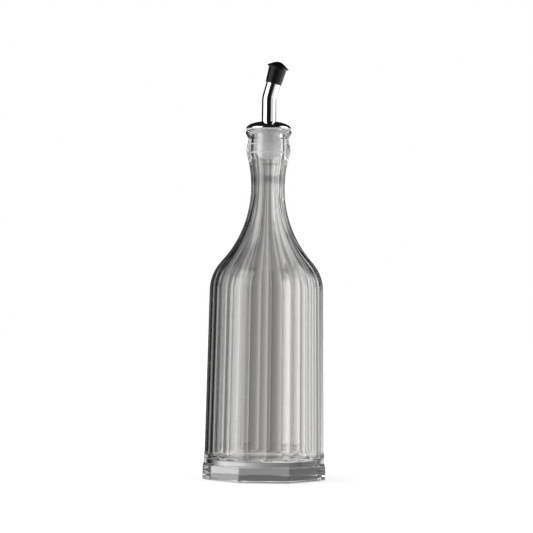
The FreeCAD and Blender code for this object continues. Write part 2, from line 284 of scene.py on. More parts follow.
def rounded(corners, radii, steps=6, closed=False):
    """Line through corners, each turned on an arc of its own radius.

    With directions in and out of a corner, the arc starts radius x tan(turn / 2) before it and
    its points lie at equal angles. A further point on each side keeps the straights true.
    """
    corners, radii = np.asarray(corners, float), np.asarray(radii, float)
    before, after = np.roll(corners, 1, 0), np.roll(corners, -1, 0)
    into, away = corners - before, after - corners
    len_in, len_out = np.linalg.norm(into, axis=1), np.linalg.norm(away, axis=1)
    into, away = into / len_in[:, None], away / len_out[:, None]
    turn = np.arctan2(
        into[:, 0] * away[:, 1] - into[:, 1] * away[:, 0], (into * away).sum(1)
    )
    cut = radii * np.tan(np.abs(turn) / 2.0)
    share = np.linspace(0.0, 1.0, steps + 1)
    bend = np.abs(turn)[:, None] * share
    side = np.sign(turn)[:, None] * np.stack([-into[:, 1], into[:, 0]], 1)
    start = corners - into * cut[:, None]
    arcs = (
        start[:, None]
        + radii[:, None, None] * np.sin(bend)[..., None] * into[:, None]
        + radii[:, None, None] * (1.0 - np.cos(bend))[..., None] * side[:, None]
    )
    free_in = len_in - cut - np.roll(cut, 1)
    free_out = len_out - cut - np.roll(cut, -1)
    lead = np.minimum(0.25 * MM, 0.3 * free_in)[:, None]
    tail = np.minimum(0.25 * MM, 0.3 * free_out)[:, None]
    first = (start - into * lead)[:, None]
    last = (corners + away * (cut[:, None] + tail))[:, None]
    line = np.concatenate([first, arcs, last], 1)
    if not closed:
        line = line[1:-1].reshape(-1, 2)
        line = np.concatenate([corners[:1], line, corners[-1:]])
    line = line.reshape(-1, 2)
    gap = np.linalg.norm(line - np.roll(line, 1, 0), axis=1)
    return line[gap > 0.002 * MM]


def around_axis(profile, count):
    """Grid of points: each (radius, height) of the profile carried round the axis."""
    theta = np.arange(count) * 2.0 * math.pi / count
    r, z = profile[:, 0, None], profile[:, 1, None]
    return np.stack([r * np.cos(theta), r * np.sin(theta), z + 0.0 * theta], -1)


def tilted(points, p):
    """Points made upright at the origin, laid along the tube's upper run from its bend."""
    c, s = math.cos(p.bend), math.sin(p.bend)
    x, y, z = points[..., 0], points[..., 1], points[..., 2]
    return np.stack([c * x + s * z, y, -s * x + c * z], -1)


def turned(points, turn):
    """Points turned about the bottle's axis."""
    c, s = math.cos(turn), math.sin(turn)
    x, y = points[..., 0], points[..., 1]
    return np.stack([c * x - s * y, s * x + c * y, points[..., 2]], -1)


# ---- mesh making ----
def skin(name, grid, start=None, end=None, wrap=False):
    """Closed mesh over a grid of points, row along the profile by step round the axis.

    Quads join each row to the next; start and end are pole points joined to the first and
    last row by triangles, or wrap joins the last row to the first.
    """
    rows, count = grid.shape[:2]
    index = np.arange(rows * count).reshape(rows, count)
    lower, upper = (index, np.roll(index, -1, 0)) if wrap else (index[:-1], index[1:])
    quads = np.stack(
        [lower, np.roll(lower, -1, 1), np.roll(upper, -1, 1), upper], -1
    ).reshape(-1, 4)
    points, faces = [grid.reshape(-1, 3)], quads.tolist()
    poles = [(start, index[0], 1), (end, index[-1], -1)]
    total = rows * count
    for pole, ring, way in poles:
        if pole is None:
            continue
        points.append(np.array([pole], float))
        fan = np.stack([np.full(count, total), np.roll(ring, -way), ring], -1)
        if way < 0:
            fan = np.stack([np.full(count, total), ring, np.roll(ring, -1)], -1)
        faces += fan.tolist()
        total += 1
    mesh = bpy.data.meshes.new(name)
    mesh.from_pydata(np.concatenate(points).tolist(), [], faces)
    mesh.polygons.foreach_set("use_smooth", np.ones(len(faces), bool))
    mesh.update()
    piece = bpy.data.objects.new(name, mesh)
    bpy.context.scene.collection.objects.link(piece)
    return piece


def settle(piece, material, slot, *nodes):
    """Gives a piece its finish and its place in the frame."""
    piece.data.materials.append(material)
    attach(piece, "root")
    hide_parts(*nodes)
    return piece


# ---- nodes ----
def node(tree, kind, settings=None, **inputs):
    """Adds a node; settings go on the node, and each input gets a value or a link."""
    made = tree.nodes.new(kind)
    for key, value in (settings or {}).items():
        setattr(made, key, value)
    for key, value in inputs.items():
        key = key.replace("_", " ")
        socket = made.inputs[int(key[1:])] if key[0] == "i" and key[1:].isdigit() else made.inputs[key]
        if isinstance(value, bpy.types.NodeSocket):
            tree.links.new(value, socket)
        else:
            socket.default_value = value
    return made


def shader(name):
    """New material with an empty node tree but for its output."""
    material = bpy.data.materials.new(name)
    material.use_nodes = True
    tree = material.node_tree
    tree.nodes.clear()
    return material, tree, tree.nodes.new("ShaderNodeOutputMaterial")


def object_scale(tree, wavelength, stretch=(1.0, 1.0, 1.0)):
    """Object coordinates scaled so that a noise of scale 1 repeats over about wavelength."""
    place = node(tree, "ShaderNodeTexCoord")
    scale = tuple(s / wavelength for s in stretch)
    mapping = node(tree, "ShaderNodeMapping", Vector=place.outputs["Object"], Scale=scale)
    return mapping.outputs["Vector"]


# ---- materials ----
def clear_moulded_acrylic(colours):
    """Acrylic, injection moulded in a polished tool.

    Clear and neutral with sharp reflections; the thick wall cools unevenly, which leaves
    long, very shallow waves that make the light behind it waver a little.
    """
    material, tree, out = shader("clear_moulded_acrylic")
    waves = node(
        tree, "ShaderNodeTexNoise",
        Vector=object_scale(tree, 14.0 * MM, (1.0, 1.0, 0.35)), Scale=1.0, Detail=1.0,
    )
    bump = node(
        tree, "ShaderNodeBump", Strength=0.35, Distance=0.012 * MM, Height=waves.outputs["Fac"]
    )
    body = node(
        tree, "ShaderNodeBsdfPrincipled",
        Base_Color=(*colours.acrylic, 1.0), Metallic=0.0, Roughness=0.0, IOR=1.49,
        Transmission_Weight=1.0, Normal=bump.outputs["Normal"],
    )
    tree.links.new(body.outputs[0], out.inputs["Surface"])
    return material


def translucent_polyethylene(colours):
    """Low-density polyethylene, injection moulded: milky, waxy and soft-edged, with a fine matt grain."""
    material, tree, out = shader("translucent_polyethylene")
    grain = node(
        tree, "ShaderNodeTexNoise", Vector=object_scale(tree, 0.5 * MM), Scale=1.0, Detail=2.0
    )
    cloud = node(
        tree, "ShaderNodeTexNoise", Vector=object_scale(tree, 6.0 * MM), Scale=1.0, Detail=2.0
    )
    deep = tuple(c * 0.9 for c in colours.polyethylene)
    tint = node(
        tree, "ShaderNodeMix", {"data_type": "RGBA"},
        Factor=cloud.outputs["Fac"], i6=(*deep, 1.0), i7=(*colours.polyethylene, 1.0),
    )
    bump = node(
        tree, "ShaderNodeBump", Strength=0.3, Distance=0.03 * MM, Height=grain.outputs["Fac"]
    )
    body = node(
        tree, "ShaderNodeBsdfPrincipled",
        Base_Color=tint.outputs[2], Roughness=0.42, IOR=1.51, Subsurface_Weight=0.35,
        Subsurface_Radius=(2.2 * MM, 2.1 * MM, 2.0 * MM), Subsurface_Scale=1.0,
        Normal=bump.outputs["Normal"],
    )
    tree.links.new(body.outputs[0], out.inputs["Surface"])
    return material


def polished_stainless_steel(colours):
    """Stainless steel, drawn and pressed, then polished: near-mirror with fine hairlines."""
    material, tree, out = shader("polished_stainless_steel")
    hairline = node(
        tree, "ShaderNodeTexNoise",
        Vector=object_scale(tree, 0.25 * MM, (1.0, 1.0, 0.06)), Scale=1.0, Detail=2.0,
    )
    dull = node(
        tree, "ShaderNodeMapRange", Value=hairline.outputs["Fac"],
        From_Min=0.3, From_Max=0.75, To_Min=0.05, To_Max=0.12,
    )
    bump = node(
        tree, "ShaderNodeBump", Strength=0.12, Distance=0.004 * MM, Height=hairline.outputs["Fac"]
    )
    body = node(
        tree, "ShaderNodeBsdfPrincipled",
        Base_Color=(*colours.steel, 1.0), Metallic=1.0, Roughness=dull.outputs["Result"],
        Normal=bump.outputs["Normal"],
    )
    tree.links.new(body.outputs[0], out.inputs["Surface"])
    return material


def satin_black_rubber(colours):
    """Black synthetic rubber, moulded: deep black with a soft satin sheen and a faint grain."""
    material, tree, out = shader("satin_black_rubber")
    grain = node(
        tree, "ShaderNodeTexNoise", Vector=object_scale(tree, 0.35 * MM), Scale=1.0, Detail=3.0
    )
    patch = node(
        tree, "ShaderNodeTexNoise", Vector=object_scale(tree, 5.0 * MM), Scale=1.0, Detail=2.0
    )
    sheen = node(
        tree, "ShaderNodeMapRange", Value=patch.outputs["Fac"],
        From_Min=0.3, From_Max=0.7, To_Min=0.26, To_Max=0.34,
    )
    bump = node(
        tree, "ShaderNodeBump", Strength=0.3, Distance=0.02 * MM, Height=grain.outputs["Fac"]
    )
    body = node(
        tree, "ShaderNodeBsdfPrincipled",
        Base_Color=(*colours.cap, 1.0), Roughness=sheen.outputs["Result"], IOR=1.52,
        Specular_IOR_Level=0.2, Normal=bump.outputs["Normal"],
    )
    tree.links.new(body.outputs[0], out.inputs["Surface"])
    return material


# ---- pieces ----
# width over which the round flare and the panels blend
SOFT_JOIN = 0.12 * MM
# steps round the stopper, tube and cap, and round the disc
ROUND_STEPS = 96
DISC_STEPS = 128


def facet_angles(p):
    """Steps round the bottle: close together at the body's ridges and the foot's corners."""
    ridge = np.array([-0.42, -0.21, 0.0, 0.21, 0.42])
    corner = -math.degrees(p.turn) + np.array([-0.85, -0.5, -0.17, 0.17, 0.5, 0.85])
    flat = np.linspace(1.3, 22.5 - math.degrees(p.turn) - 1.7, 11)
    step = np.sort(np.concatenate([ridge, corner, flat]))
    turns = -90.0 + math.degrees(p.turn) + 22.5 * np.arange(16)
    return np.radians((turns[:, None] + step).reshape(-1))


def bottle_outside(p, theta):
    """Rows of (radius, height) from the middle of the underside up to the lip.

    Below, a rounded octagon carries the slab; above, each row takes the nearer of the
    round blank and a rounded sixteen-sided polygon at the panels' distance.
    """
    corner_share = 2.0 * p.foot_corner_round / p.foot_across
    eight = polygon(theta, 8, math.radians(-90.0) - math.pi / 8.0, corner_share)
    foot_r = eight * p.foot_across / 2.0
    sixteen = polygon(theta, 16, math.radians(-90.0) + p.turn, p.ridge_share)
    collar, low, straight_z, start_z, neck_z, draft, turn = lean(p)
    flat = np.ones_like(theta)
    rows = []

    def add(r, z):
        """One more row, the same all round where a plain number is given."""
        rows.append((r * flat, z * flat))

    # hollow and rim
    hollow = p.foot_across / 2.0 - p.rim_width
    fillet = p.recess_depth * 0.9
    for share in (0.2, 0.5, 0.8, 0.98):
        add((hollow - fillet) * share, p.recess_depth)
    for a in np.radians([0.0, 22.5, 45.0, 67.5, 90.0]):
        add(hollow - fillet * (1.0 - math.sin(a)), p.recess_depth - fillet * (1.0 - math.cos(a)))
    add(hollow, 0.0)
    inner = foot_r - p.foot_bottom_round * eight
    for share in (0.04, 0.5, 0.96):
        add(hollow + (inner - hollow) * share, 0.0)
    for a in np.radians(np.linspace(0.0, 90.0, 6)):
        low_round = p.foot_bottom_round * (1.0 - math.cos(a))
        add(foot_r - p.foot_bottom_round * (1.0 - math.sin(a)) * eight, low_round)
    # facet
    round_z = p.foot_height - p.foot_top_round
    for share in (0.03, 0.5, 0.97):
        add(foot_r, p.foot_bottom_round + (round_z - p.foot_bottom_round) * share)
    # top rounding and top face, shared out by length as far as the collar
    reach = (foot_r - collar) / eight
    swing = np.arccos(np.clip(1.0 - reach / p.foot_top_round, 0.0, 1.0))
    length = swing * p.foot_top_round + np.maximum(reach - p.foot_top_round, 0.0)
    for share in np.linspace(0.0, 1.0, 11):
        a = np.minimum(share * length / p.foot_top_round, math.pi / 2.0)
        flat_part = np.maximum(share * length - p.foot_top_round * math.pi / 2.0, 0.0)
        inward = p.foot_top_round * (1.0 - np.cos(a)) + flat_part
        add(foot_r - inward * eight, round_z + p.foot_top_round * np.sin(a))
    top_z = rows[-1][1]
    # collar up to the panels' lower edge, where the collar and the run-out arc are as far out
    over = collar / sixteen - low
    edge_z = straight_z - np.sqrt(np.maximum(2.0 * p.panel_runout * over - over ** 2, 0.0))
    for share in (0.05, 0.5, 0.93):
        add(collar, top_z + (edge_z - top_z) * share)
    add(collar - 0.03 * MM, edge_z)
    above = straight_z + 0.6 * MM
    for share in (0.07, 0.2, 0.35, 0.5, 0.65, 0.8, 0.92):
        z = edge_z + (above - edge_z) * share
        add(sixteen * panel_distance(p, z), z)
    # straight of the body, shoulder and sweep
    halfway = (above + start_z) / 2.0
    for z in (
        above, above + 2.0 * MM, above + 20.0 * MM, halfway, start_z - 12.0 * MM, start_z - 1.0 * MM
    ):
        add(sixteen * panel_distance(p, z * flat), z)
    centre_z = neck_z - (p.shoulder_radius + p.sweep_radius) * math.sin(turn)
    for a in np.linspace(draft, turn, 20):
        z = centre_z + p.shoulder_radius * math.sin(a)
        add(sixteen * panel_distance(p, z * flat), z)
    for a in np.linspace(turn, 0.0, 30)[1:]:
        z = neck_z - p.sweep_radius * math.sin(a)
        add(sixteen * panel_distance(p, z * flat), z)
    # neck and flare: the nearer of the panels and the round, blended over a hair's breadth
    centre_r, flare_z, radius, bead_low_z = flare_line(p)
    for z in np.linspace(flare_z, bead_low_z - 0.3 * MM, 36):
        panel = sixteen * upper_panel(p, z * flat)
        round_r = centre_r - np.sqrt(radius ** 2 - (z - flare_z) ** 2)
        blend = np.clip(0.5 + (round_r - panel) / SOFT_JOIN, 0.0, 1.0)
        add(round_r + (panel - round_r) * blend - SOFT_JOIN / 2.0 * blend * (1.0 - blend), z)
    return rows


def finish_line(p):
    """Profile of the bead, groove and lip, and down into the bore."""
    bead_z = p.height - p.bead_below_lip
    groove_z = p.height - p.groove_below_lip
    _, _, _, bead_low_z = flare_line(p)
    start = (p.bead_radius - p.flare_top_inset, bead_low_z)
    low_r = p.groove_radius + 0.12 * MM
    lip_edge = p.height - p.lip_shoulder
    outside = rounded(
        [
            start,
            (p.bead_radius + 0.02 * MM, bead_z + 0.1 * MM),
            (p.bead_radius - 0.11 * MM, bead_z + 0.9 * MM),
            (low_r, groove_z - 0.9 * MM),
            (p.groove_radius, groove_z - 0.2 * MM),
            (p.groove_radius + 0.2 * MM, groove_z + 0.45 * MM),
            (p.lip_radius - 0.55 * MM, lip_edge - 1.5 * MM),
            (p.lip_radius, lip_edge),
            (p.lip_radius, p.height),
            (p.bore + p.mouth_chamfer, p.height),
            (p.bore, p.height - p.mouth_chamfer),
            (p.bore, p.height - p.bore_depth + 2.0 * MM),
        ],
        np.array([0.0, 3.0, 3.0, 1.5, 0.8, 1.0, 4.0, 2.5, p.lip_round / MM, 0.3, 0.4, 0.0]) * MM,
        steps=4,
    )
    return outside


def bottle_inside(p):
    """Profile of the round inside, from the end of the bore down to the middle of the floor."""
    _, _, _, _, neck_z, draft, turn = lean(p)
    bore_z = p.height - p.bore_depth
    taper_z = bore_z - p.bore_taper
    neck_r = p.neck_flat - p.wall
    r2, r1 = p.sweep_radius + p.wall, p.shoulder_radius - p.wall
    c2 = (p.neck_flat + p.sweep_radius, neck_z)
    sweep = p.shoulder_radius + p.sweep_radius
    c1 = (c2[0] - sweep * math.cos(turn), neck_z - sweep * math.sin(turn))
    top = rounded(
        [(p.bore, bore_z + 1.5 * MM), (p.bore, bore_z), (neck_r, taper_z), (neck_r, neck_z)],
        np.array([0.0, 8.0, 8.0, 0.0]) * MM,
    )[1:]
    a = np.linspace(0.0, turn, 22)[1:]
    concave = np.stack([c2[0] - r2 * np.cos(a), c2[1] - r2 * np.sin(a)], -1)
    a = np.linspace(turn, draft, 14)[1:]
    convex = np.stack([c1[0] + r1 * np.cos(a), c1[1] + r1 * np.sin(a)], -1)
    corner_z = p.floor + p.floor_round
    corner_r = convex[-1, 0] + (convex[-1, 1] - corner_z) * math.tan(draft)
    low_part = rounded(
        [tuple(convex[-1]), (corner_r + p.floor_round * math.tan(draft), p.floor), (0.0, p.floor)],
        np.array([0.0, p.floor_round, 0.0]),
        steps=10,
    )[1:-1]
    inward = np.array([0.75, 0.4, 0.12])[:, None] * [[low_part[-1, 0], 0.0]] + [[0.0, p.floor]]
    middle = convex[-1:] + (low_part[:1] - convex[-1:]) * np.array([[0.02], [0.5], [0.98]])
    return np.concatenate([top, concave, convex, middle, low_part, inward])


def make_bottle(p, colours):
    """Rows of the outside, then the lip, bore and inside, each at distance r and height z by angle."""
    theta = facet_angles(p)
    rows = bottle_outside(p, theta)
    ring = np.concatenate([finish_line(p), bottle_inside(p)])
    r = np.concatenate([np.stack([row[0] for row in rows]), ring[:, :1] * np.ones_like(theta)])
    z = np.concatenate([np.stack([row[1] for row in rows]), ring[:, 1:] * np.ones_like(theta)])
    grid = np.stack([r * np.cos(theta), r * np.sin(theta), z], -1)
    piece = skin("clear_bottle", grid, start=(0, 0, p.recess_depth), end=(0, 0, p.floor))
    return settle(piece, clear_moulded_acrylic(colours), "clear_body", "bottle")


def dome_line(radius, rise, low_z, from_r, to_r, count):
    """Points on a flattened ball: height = rise x sqrt(1 - (r / radius)^2)."""
    a = np.linspace(math.asin(min(from_r / radius, 1.0)), math.asin(min(to_r / radius, 1.0)), count)
    return np.stack([radius * np.sin(a), low_z + rise * np.cos(a)], -1)


# how far the soft ribs and collar press into the bore's wall, so that no air shows between them
PRESSED_IN = 0.03 * MM
# bevel round the plug's lower end
TIP_BEVEL = 0.9 * MM


def make_stopper(b, p, colours):
    """Ring profile carried round the axis: ribbed plug, collar, flange and domed head, bored through."""
    disc_z = b.height + p.flange
    tip_z = b.height - p.stopper_depth
    collar_z = b.height - p.plug_collar
    core = b.bore - p.rib_clearance - p.rib_height
    rib_r = b.bore + PRESSED_IN
    slope = (p.rib_thickness - p.rib_tip) / 2.0
    flange_r = p.disc_radius - p.flange_inset
    passage = p.tube_radius - p.tube_sheet
    seat_z = b.height - p.tube_depth
    head_r, head_rise = p.disc_radius - p.disc_sheet, p.disc_height - p.disc_sheet
    corners = [(passage, tip_z), (core - TIP_BEVEL, tip_z), (core, tip_z + TIP_BEVEL)]
    radii = [0.2, 0.4, 0.5]
    for k in (2, 1):
        z = collar_z - p.first_rib_drop - (k - 1) * p.rib_pitch
        corners += [(core, z), (rib_r, z + slope)]
        corners += [(rib_r, z + slope + p.rib_tip), (core, z + p.rib_thickness)]
        radii += [0.3, 0.35, 0.35, 0.3]
    corners += [(core, collar_z), (rib_r, collar_z), (rib_r, b.height)]
    corners += [(flange_r, b.height), (flange_r, disc_z)]
    radii += [0.25, 0.3, 0.15, 0.2, 0.2]
    lower = rounded(corners + [(head_r, disc_z)], np.array(radii + [0.0]) * MM, steps=4)
    dome = dome_line(head_r, head_rise, disc_z, head_r, p.tube_radius, 14)
    inner = rounded(
        [tuple(dome[-1]), (p.tube_radius, seat_z), (passage, seat_z), (passage, tip_z)],
        np.array([0.0, 0.1, 0.1, 0.0]) * MM, steps=3,
    )
    profile = np.concatenate([lower[2:], dome[1:], inner[1:-1]])
    grid = around_axis(profile, ROUND_STEPS)
    piece = skin("ribbed_stopper", turned(grid, p.turn), wrap=True)
    return settle(piece, translucent_polyethylene(colours), "stopper_plastic", "stopper")


def make_disc(b, p, steel):
    """Ring profile carried round the axis: pressed dome with a rounded edge, pierced for the tube."""
    disc_z = b.height + p.flange
    inner_r, inner_rise = p.disc_radius - p.disc_sheet, p.disc_height - p.disc_sheet
    top = dome_line(p.disc_radius, p.disc_height, disc_z, p.disc_radius, p.tube_radius, 40)
    under = dome_line(inner_r, inner_rise, disc_z, p.tube_radius, inner_r, 30)
    a = np.radians([-75.0, -50.0, -25.0, 0.0])
    edge = 0.25 * MM
    lip = np.stack([p.disc_radius - edge + edge * np.cos(a), disc_z + edge + edge * np.sin(a)], -1)
    profile = np.concatenate([lip, top[2:], under])
    piece = skin("domed_disc", turned(around_axis(profile, DISC_STEPS), p.turn), wrap=True)
    return settle(piece, steel, "spout_metal", "spout_disc")


def tube_path(b, p, s):
    """Centre and heading of the tube at distance s: straight up, an arc, and a sloping straight."""
    low_z = b.height - p.tube_depth
    bend_z = b.height + p.bend_above_lip
    reach = p.bend_radius * math.tan(p.bend / 2.0)
    first = bend_z - reach - low_z
    arc = np.clip(s - first, 0.0, p.bend_radius * p.bend) / p.bend_radius
    beyond = np.maximum(s - first - p.bend_radius * p.bend, 0.0)
    x = p.bend_radius * (1.0 - np.cos(arc)) + beyond * math.sin(p.bend)
    z = low_z + np.minimum(s, first) + p.bend_radius * np.sin(arc) + beyond * math.cos(p.bend)
    return x, z, arc, first, reach


def make_tube(b, p, steel):
    """Ring of section points carried along the bent path, outside going up and inside coming down."""
    _, _, _, first, reach = tube_path(b, p, np.zeros(1))
    total = first + p.bend_radius * p.bend + p.cap_above_bend + p.cap_socket - reach
    half = p.tube_sheet / 2.0
    middle = p.tube_radius - half
    stations = np.concatenate([
        np.linspace(half, first, 12)[:-1],
        np.linspace(first, first + p.bend_radius * p.bend, 16),
        np.linspace(first + p.bend_radius * p.bend, total - half, 8)[1:],
    ])
    a = np.linspace(0.0, math.pi, 8)[1:-1]
    rim = np.stack([middle + half * np.cos(a), total - half + half * np.sin(a)], -1)
    foot = np.stack([middle - half * np.cos(a), half - half * np.sin(a)], -1)
    up = np.stack([np.full_like(stations, middle + half), stations], -1)
    down = np.stack([np.full_like(stations, middle - half), stations[::-1]], -1)
    section = np.concatenate([up, rim, down, foot])
    theta = np.arange(ROUND_STEPS) * 2.0 * math.pi / ROUND_STEPS
    x, z, heading, _, _ = tube_path(b, p, section[:, 1])
    across = section[:, 0, None] * np.cos(theta)
    grid = np.stack([
        x[:, None] + across * np.cos(heading)[:, None],
        section[:, 0, None] * np.sin(theta),
        z[:, None] - across * np.sin(heading)[:, None],
    ], -1)
    piece = skin("bent_tube", turned(grid, p.turn), wrap=True)
    return settle(piece, steel, "spout_metal", "spout_tube")


def make_cap(b, p, colours):
    """Tapered sleeve with a brim and a low cone, hollow for the tube, laid along the upper run."""
    neck, mouth, brim = (p.tube_radius + w for w in (p.cap_neck_wall, p.cap_mouth_wall, p.cap_brim_reach))
    slope = p.cap_crown_slope
    tip_r = p.cap_crown_tip
    edge = p.cap_brim_edge
    foot = (brim - edge, p.cap_length)
    apex_z = p.cap_length + foot[0] * math.tan(slope)
    a = np.linspace(math.pi / 2.0 - slope, math.pi / 2.0, 9)
    centre_z = apex_z - tip_r / math.cos(slope)
    tip = np.stack([tip_r * np.cos(a), centre_z + tip_r * np.sin(a)], -1)[:-1]
    outside = rounded(
        [
            (0.0, p.cap_socket), (p.tube_radius, p.cap_socket), (p.tube_radius, 0.0), (mouth, 0.0),
            (neck, p.cap_length - p.cap_brim), (brim, p.cap_length - edge), foot, tuple(tip[0]),
        ],
        np.array([0.0, 0.3, 0.15, 0.25, 0.8, 0.35, 0.35, 0.0]) * MM,
    )
    profile = np.concatenate([outside[1:], tip[1:]])
    grid = tilted(around_axis(profile, ROUND_STEPS), p)
    base = np.array([
        math.sin(p.bend) * p.cap_above_bend, 0.0,
        b.height + p.bend_above_lip + math.cos(p.bend) * p.cap_above_bend,
    ])
    start = turned(tilted(np.array([0.0, 0.0, p.cap_socket]), p) + base, p.turn)
    end = turned(tilted(np.array([0.0, 0.0, centre_z + tip_r]), p) + base, p.turn)
    piece = skin("black_cap", turned(grid + base, p.turn), start=start, end=end)
    return settle(piece, satin_black_rubber(colours), "cap_black", "spout_cap")


# ---- studio ----
def bands(tree, share, stops):
    """Brightness round the compass: stops are (degrees from the camera's side, brightness).

    The ramp holds brightness over its ceiling, so lamps brighter than white fit in it.
    """
    ceiling = max(value for _, value in stops)
    ramp = node(tree, "ShaderNodeValToRGB", Fac=share)
    spots = ramp.color_ramp.elements
    while len(spots) < len(stops):
        spots.new(0.5)
    for spot, (degrees, value) in zip(spots, stops):
        spot.position = degrees / 360.0 + 0.5
        spot.color = (value / ceiling,) * 3 + (1.0,)
    return node(
        tree, "ShaderNodeMath", {"operation": "MULTIPLY"}, i0=ramp.outputs["Color"], i1=ceiling
    ).outputs[0]


def edge(tree, value, at, soft):
    """0 below `at`, 1 above it, over a soft edge `soft` wide."""
    return node(
        tree, "ShaderNodeMapRange", Value=value,
        From_Min=at - soft / 2.0, From_Max=at + soft / 2.0, To_Min=0.0, To_Max=1.0,
    ).outputs["Result"]


def calculated(tree, operation, first, second):
    """One sum, product or other step of arithmetic on two values."""
    return node(tree, "ShaderNodeMath", {"operation": operation}, i0=first, i1=second).outputs[0]


def between(tree, value, low, high, soft):
    """1 from `low` to `high`, 0 outside, with soft edges."""
    return calculated(tree, "SUBTRACT", edge(tree, value, low, soft), edge(tree, value, high, soft))


def lamp(tree, compass, height, left, right, bottom, top, brightness):
    """Soft box between two compass angles and two heights, in degrees."""
    across = between(tree, compass, left, right, LAMP_EDGE)
    upright = between(tree, height, bottom, top, LAMP_TOP_EDGE)
    return calculated(tree, "MULTIPLY", calculated(tree, "MULTIPLY", across, upright), brightness)


def surroundings(tree, compass, height, stops, lamps, dim=0.0):
    """Brightness all round: a backdrop that changes with the compass, and the lamps before it.

    The backdrop is dimmer by the share `dim` in a band a few degrees above level.
    """
    share = node(
        tree, "ShaderNodeMapRange", Value=compass, From_Min=-180.0, From_Max=180.0, To_Min=0.0, To_Max=1.0
    ).outputs["Result"]
    shade = calculated(tree, "MULTIPLY", between(tree, height, *DIM_BAND), -dim)
    total = calculated(tree, "MULTIPLY", bands(tree, share, stops), calculated(tree, "ADD", shade, 1.0))
    for place in lamps:
        total = calculated(tree, "ADD", total, lamp(tree, compass, height, *place))
    return total


def make_world(studio):
    """Studio all round: white to the eye, soft light on matt surfaces, lamps in what is clear or shines.

    Compass angle = atan2(x, -y): 0 is the camera's side, + is to its right. Height = asin(z).
    """
    world = bpy.data.worlds.new("studio")
    world.use_nodes = True
    bpy.context.scene.world = world
    tree = world.node_tree
    tree.nodes.clear()
    place = node(tree, "ShaderNodeTexCoord")
    part = node(tree, "ShaderNodeSeparateXYZ", Vector=place.outputs["Generated"])
    front = calculated(tree, "MULTIPLY", part.outputs["Y"], -1.0)
    turn = calculated(tree, "ARCTAN2", part.outputs["X"], front)
    compass = calculated(tree, "MULTIPLY", turn, 180.0 / math.pi)
    rise = node(tree, "ShaderNodeMath", {"operation": "ARCSINE"}, i0=part.outputs["Z"]).outputs[0]
    height = calculated(tree, "MULTIPLY", rise, 180.0 / math.pi)
    seen = surroundings(tree, compass, height, SEEN_THROUGH, LAMPS_THROUGH, BACKDROP_DIM)
    shine = surroundings(tree, compass, height, MIRRORED, LAMPS_MIRRORED)
    soft = surroundings(tree, compass, height, SOFT_LIGHT, [])
    ray = node(tree, "ShaderNodeLightPath")
    through = node(
        tree, "ShaderNodeMix", {"data_type": "FLOAT"},
        Factor=ray.outputs["Is Transmission Ray"], i2=shine, i3=seen,
    ).outputs[0]
    matt = calculated(tree, "GREATER_THAN", ray.outputs["Diffuse Depth"], 0.5)
    lit = node(
        tree, "ShaderNodeMix", {"data_type": "FLOAT"},
        Factor=matt, i2=through, i3=calculated(tree, "MULTIPLY", soft, studio.soft_light),
    ).outputs[0]
    final = node(
        tree, "ShaderNodeMix", {"data_type": "FLOAT"},
        Factor=ray.outputs["Is Camera Ray"], i2=lit, i3=1.0,
    ).outputs[0]
    back = node(tree, "ShaderNodeBackground", Color=final, Strength=1.0)
    out = node(tree, "ShaderNodeOutputWorld", Surface=back.outputs[0])
    return out


def make_floor(colours):
    """Pale matt floor just under the foot, white to the eye but for a soft shadow."""
    a = np.arange(FLOOR_STEPS) * 2.0 * math.pi / FLOOR_STEPS
    ring = np.stack([np.cos(a), np.sin(a), 0.0 * a], -1)
    z = bottle_low.z - 0.3 * MM
    grid = np.array([0.05, 0.2, 1.0])[:, None, None] * FLOOR_RADIUS * ring + [0.0, 0.0, z]
    mesh_points = np.concatenate([grid.reshape(-1, 3), [[0.0, 0.0, z]]])
    centre = 3 * FLOOR_STEPS
    index = np.arange(centre).reshape(3, FLOOR_STEPS)
    quads = np.stack(
        [index[:-1], index[1:], np.roll(index[1:], -1, 1), np.roll(index[:-1], -1, 1)], -1
    )
    fan = np.stack([np.full(FLOOR_STEPS, centre), index[0], np.roll(index[0], -1)], -1)
    mesh = bpy.data.meshes.new("studio_floor")
    mesh.from_pydata(mesh_points.tolist(), [], quads.reshape(-1, 4).tolist() + fan.tolist())
    floor = bpy.data.objects.new("studio_floor", mesh)
    bpy.context.scene.collection.objects.link(floor)
    material, tree, out = shader("matt_studio_floor")
    ray = node(tree, "ShaderNodeLightPath")
    paint = node(tree, "ShaderNodeBsdfDiffuse", Color=(*colours.floor, 1.0))
    half = node(tree, "ShaderNodeBsdfDiffuse", Color=(*(0.5 * c for c in colours.floor), 1.0))
    glow = node(tree, "ShaderNodeEmission", Color=(1.0, 1.0, 1.0, 1.0), Strength=0.55)
    both = node(tree, "ShaderNodeAddShader", i0=half.outputs[0], i1=glow.outputs[0])
    mix = node(
        tree, "ShaderNodeMixShader",
        Fac=ray.outputs["Is Camera Ray"], i1=paint.outputs[0], i2=both.outputs[0],
    )
    tree.links.new(mix.outputs[0], out.inputs["Surface"])
    floor.data.materials.append(material)
    floor.visible_glossy = False
    floor.visible_transmission = False
    return floor


def make_camera(studio):
    """Level camera on the bottle's front, about as high as its middle, with a small lean."""
    data = bpy.data.cameras.new("camera")
    data.lens, data.sensor_width = CAMERA_LENS, 36.0
    data.clip_start, data.clip_end = 0.05, 50.0
    camera = bpy.data.objects.new("camera", data)
    bpy.context.scene.collection.objects.link(camera)
    camera.location = (CAMERA_ASIDE, -studio.camera_distance, studio.camera_height)
    camera.rotation_euler = (math.pi / 2.0, -studio.camera_roll, 0.0)
    bpy.context.scene.camera = camera
    return camera


